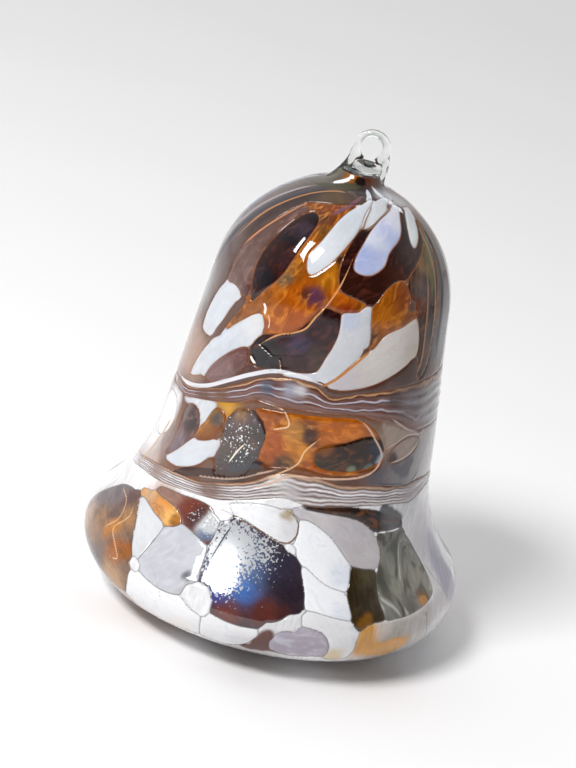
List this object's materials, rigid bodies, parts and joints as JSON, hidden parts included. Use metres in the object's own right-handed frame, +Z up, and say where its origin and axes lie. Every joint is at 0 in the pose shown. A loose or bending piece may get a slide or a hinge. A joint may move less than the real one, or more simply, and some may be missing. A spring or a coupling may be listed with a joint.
{
  "type": "glass bell",
  "caption": "Closed hand-blown glass bell ornament: clear bubble skinned with coloured glass chips and thread bands, with a clear hanging loop.",
  "frame": {"origin": "middle of the polished flat base, on the bell's axis", "axes": "+Z up the bell's axis to the hanging loop; the loop's hole runs along Y and its longer foot points to -X; -Y is the side shown to the viewer"},
  "size_m": [0.08, 0.08, 0.1033],
  "materials": {
    "clear_glass": "clear, fire-polished, glossy",
    "ground_glass": "dark smoke and umber ground between the chips, glossy",
    "thread_glass": "stretched white, mauve and amber threads, glossy",
    "white_glass": "opaque white, glossy",
    "cream_glass": "opaque warm white, glossy",
    "lilac_glass": "opal white with a lilac cast, glossy",
    "amber_glass": "amber, glossy",
    "oxblood_glass": "dark oxblood with a violet sheen, glossy",
    "mauve_glass": "mauve brown, glossy",
    "umber_glass": "dark umber, glossy",
    "smoke_glass": "smoky grey-olive, glossy",
    "lustre_glass": "silver-blue metallic lustre, glossy"
  },
  "bodies": {
    "root": {"chip_amber_back": "amber_glass", "chip_amber_middle": "amber_glass", "chip_amber_middle_back": "amber_glass", "chip_amber_middle_left": "amber_glass", "chip_amber_right": "amber_glass", "chip_amber_shoulder": "amber_glass", "chip_amber_teardrop": "amber_glass", "chip_brown_lustre": "lustre_glass", "chip_clear_window": "smoke_glass", "chip_clear_window_back": "smoke_glass", "chip_cream_back": "cream_glass", "chip_cream_right": "cream_glass", "chip_lavender_bottom": "lilac_glass", "chip_lilac_back": "lilac_glass", "chip_lilac_flame": "lilac_glass", "chip_lilac_round": "lilac_glass", "chip_lilac_teardrop": "lilac_glass", "chip_mauve_left": "mauve_glass", "chip_mauve_middle": "mauve_glass", "chip_mauve_shoulder": "mauve_glass", "chip_olive_window": "smoke_glass", "chip_oxblood_back": "oxblood_glass", "chip_oxblood_flame": "oxblood_glass", "chip_oxblood_heart": "oxblood_glass", "chip_oxblood_shoulder": "oxblood_glass", "chip_pale_wedge": "lilac_glass", "chip_pearl_edge_left": "lilac_glass", "chip_pearl_oval": "lilac_glass", "chip_silver_lustre": "lustre_glass", "chip_silver_lustre_back": "lustre_glass", "chip_smoke_lobe_left": "smoke_glass", "chip_smoke_middle": "smoke_glass", "chip_smoke_middle_back": "smoke_glass", "chip_taupe_middle_right": "mauve_glass", "chip_umber_crescent": "umber_glass", "chip_umber_oblong": "umber_glass", "chip_umber_streaks_right": "umber_glass", "chip_white_back": "white_glass", "chip_white_bottom_left": "white_glass", "chip_white_bottom_middle": "white_glass", "chip_white_bottom_right": "white_glass", "chip_white_diagonal": "white_glass", "chip_white_flame_left": "white_glass", "chip_white_flame_middle": "white_glass", "chip_white_flame_narrow": "white_glass", "chip_white_heart": "white_glass", "chip_white_left": "white_glass", "chip_white_middle": "white_glass", "chip_white_oval_back": "white_glass", "chip_white_oval_lower": "white_glass", "chip_white_oval_upper": "white_glass", "clear_bubble": "clear_glass", "flare_ground_glass": "ground_glass", "hanging_loop": "clear_glass", "loop_seat": "clear_glass", "lower_thread_band": "thread_glass", "middle_ground_glass": "ground_glass", "upper_ground_glass": "ground_glass", "upper_thread_band": "thread_glass"}
  },
  "joints": []
}
